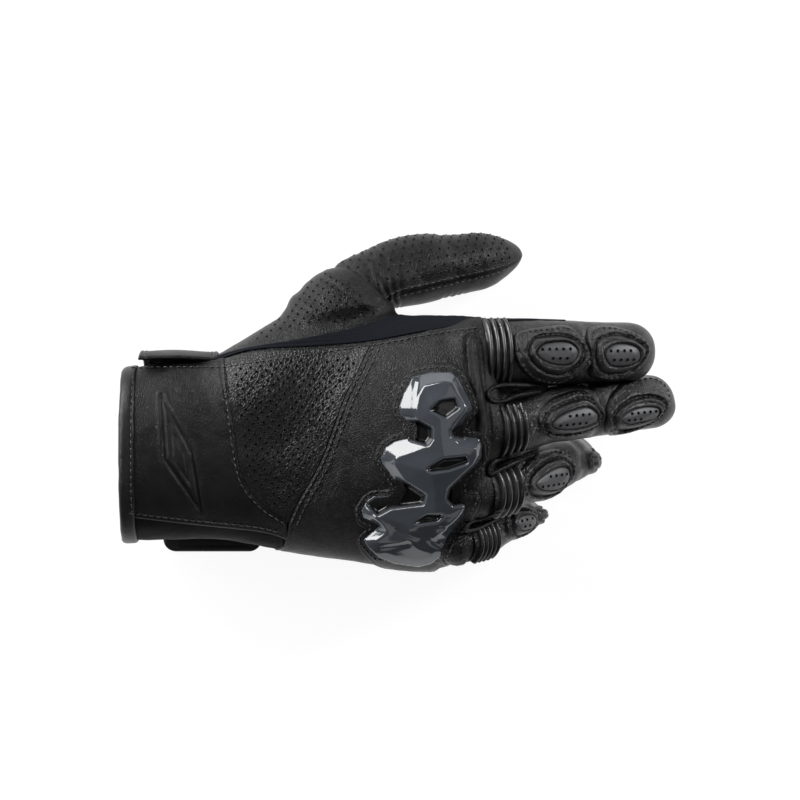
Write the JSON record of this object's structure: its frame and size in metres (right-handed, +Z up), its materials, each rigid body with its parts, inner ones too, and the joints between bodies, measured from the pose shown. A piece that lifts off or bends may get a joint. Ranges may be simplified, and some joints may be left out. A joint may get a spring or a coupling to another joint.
{
  "type": "riding glove",
  "caption": "Right-hand short-cuff black leather riding glove with a hard knuckle guard, ribbed finger roots, padded finger backs and a hook-and-loop wrist strap.",
  "frame": {"origin": "under the middle of the glove's bounding box, on the surface it lies on palm down", "axes": "+X from the cuff to the fingertips, +Y to the thumb side, +Z up through the back of the hand"},
  "size_m": [0.2462, 0.1496, 0.0856],
  "materials": {
    "leather": "grained full-grain leather, semi-matte",
    "perforated_leather": "pebbled leather with punched holes",
    "stretch_fabric": "ribbed stretch knit, dark navy",
    "binding_leather": "smooth folded edge binding",
    "lining_fabric": "brushed knit lining",
    "slider_plastic": "moulded, matte",
    "rubber": "moulded, satin, perforated",
    "padding_leather": "leather flange over foam, stitched",
    "guard_shell": "moulded hard shell, gloss",
    "hook_loop": "hook-and-loop tape"
  },
  "bodies": {
    "hand": {"back_panel": "leather", "cuff_back_panel": "leather", "little_side_panel": "leather", "palm_panel": "leather", "cuff_palm_panel": "leather", "palm_grip_patch": "leather", "index_middle_web": "leather", "middle_ring_web": "leather", "ring_little_web": "leather", "wrist_perforated_panel": "perforated_leather", "thumb_saddle": "perforated_leather", "thumb_side_gusset": "stretch_fabric", "cuff_binding": "binding_leather", "hand_lining": "lining_fabric", "palm_heel_slider": "slider_plastic", "guard_padding": "padding_leather", "knuckle_guard": "guard_shell", "cuff_loop_tape": "hook_loop"},
    "index_base": {"index_ribbed_sleeve": "leather", "index_back_panel": "leather", "index_palm_panel": "leather", "index_knuckle_pad": "leather", "index_knuckle_insert": "rubber"},
    "index_tip": {"index_channel_sleeve": "leather", "index_tip_shell": "leather", "index_tip_pad": "leather", "index_tip_insert": "rubber"},
    "middle_base": {"middle_ribbed_sleeve": "leather", "middle_back_panel": "leather", "middle_palm_panel": "leather", "middle_knuckle_pad": "leather", "middle_knuckle_insert": "rubber"},
    "middle_tip": {"middle_channel_sleeve": "leather", "middle_tip_shell": "leather", "middle_tip_pad": "leather", "middle_tip_insert": "rubber"},
    "ring_base": {"ring_ribbed_sleeve": "leather", "ring_back_panel": "leather", "ring_palm_panel": "leather", "ring_knuckle_pad": "leather", "ring_knuckle_insert": "rubber"},
    "ring_tip": {"ring_channel_sleeve": "leather", "ring_tip_shell": "leather", "ring_tip_pad": "leather", "ring_tip_insert": "rubber"},
    "little_base": {"little_ribbed_sleeve": "leather", "little_back_panel": "leather", "little_palm_panel": "leather", "little_knuckle_pad": "leather", "little_knuckle_insert": "rubber"},
    "little_tip": {"little_channel_sleeve": "leather", "little_tip_shell": "leather"},
    "thumb_base": {"thumb_outer_panel": "perforated_leather", "thumb_inner_panel": "leather", "thumb_root_sleeve": "perforated_leather"},
    "thumb_tip": {"thumb_tip_shell": "perforated_leather", "thumb_channel_sleeve": "leather"},
    "strap": {"wrist_strap": "leather", "strap_pull_tab": "rubber", "strap_hook_tape": "hook_loop"}
  },
  "joints": [
    {"name": "index_root_flex", "type": "hinge", "parent": "hand", "child": "index_base", "pos_m": [0.04245, 0.02079, 0.0611], "axis": [-0.0227, 0.9997, 0], "range_deg": [-25, 50], "deforming": ["index_ribbed_sleeve"]},
    {"name": "index_channel_flex", "type": "hinge", "parent": "index_base", "child": "index_tip", "pos_m": [0.08049, 0.02165, 0.05301], "axis": [-0.0227, 0.9997, 0], "range_deg": [-8, 60], "deforming": ["index_channel_sleeve"]},
    {"name": "middle_root_flex", "type": "hinge", "parent": "hand", "child": "middle_base", "pos_m": [0.04636, -0.00821, 0.0621], "axis": [-0.0924, 0.9957, 0], "range_deg": [-35, 50], "deforming": ["middle_ribbed_sleeve"]},
    {"name": "middle_channel_flex", "type": "hinge", "parent": "middle_base", "child": "middle_tip", "pos_m": [0.08328, -0.00479, 0.04712], "axis": [-0.0924, 0.9957, 0], "range_deg": [-6, 60], "deforming": ["middle_channel_sleeve"]},
    {"name": "ring_root_flex", "type": "hinge", "parent": "hand", "child": "ring_base", "pos_m": [0.04115, -0.03341, 0.0576], "axis": [-0.1357, 0.9907, 0], "range_deg": [-45, 30], "deforming": ["ring_ribbed_sleeve"]},
    {"name": "ring_channel_flex", "type": "hinge", "parent": "ring_base", "child": "ring_tip", "pos_m": [0.07504, -0.02877, 0.03088], "axis": [-0.1357, 0.9907, 0], "range_deg": [-40, 30], "deforming": ["ring_channel_sleeve"]},
    {"name": "little_root_flex", "type": "hinge", "parent": "hand", "child": "little_base", "pos_m": [0.03186, -0.05781, 0.0471], "axis": [-0.1822, 0.9833, 0], "range_deg": [-45, 25], "deforming": ["little_ribbed_sleeve"]},
    {"name": "little_channel_flex", "type": "hinge", "parent": "little_base", "child": "little_tip", "pos_m": [0.05307, -0.05388, 0.02626], "axis": [-0.1822, 0.9833, 0], "range_deg": [-36, 30], "deforming": ["little_channel_sleeve"]},
    {"name": "thumb_root_flex", "type": "hinge", "parent": "hand", "child": "thumb_base", "pos_m": [-0.01184, 0.05299, 0.0304], "axis": [-0.3389, 0.7527, -0.5645], "range_deg": [-20, 35], "deforming": ["thumb_root_sleeve"]},
    {"name": "thumb_tip_flex", "type": "hinge", "parent": "thumb_base", "child": "thumb_tip", "pos_m": [0.02069, 0.05911, 0.01903], "axis": [-0.3389, 0.7527, -0.5645], "range_deg": [-10, 55], "deforming": ["thumb_channel_sleeve"]},
    {"name": "strap_peel", "type": "hinge", "parent": "hand", "child": "strap", "pos_m": [-0.0965, 0.0222, 0.03], "axis": [1, 0, 0], "range_deg": [0, 95]}
  ]
}
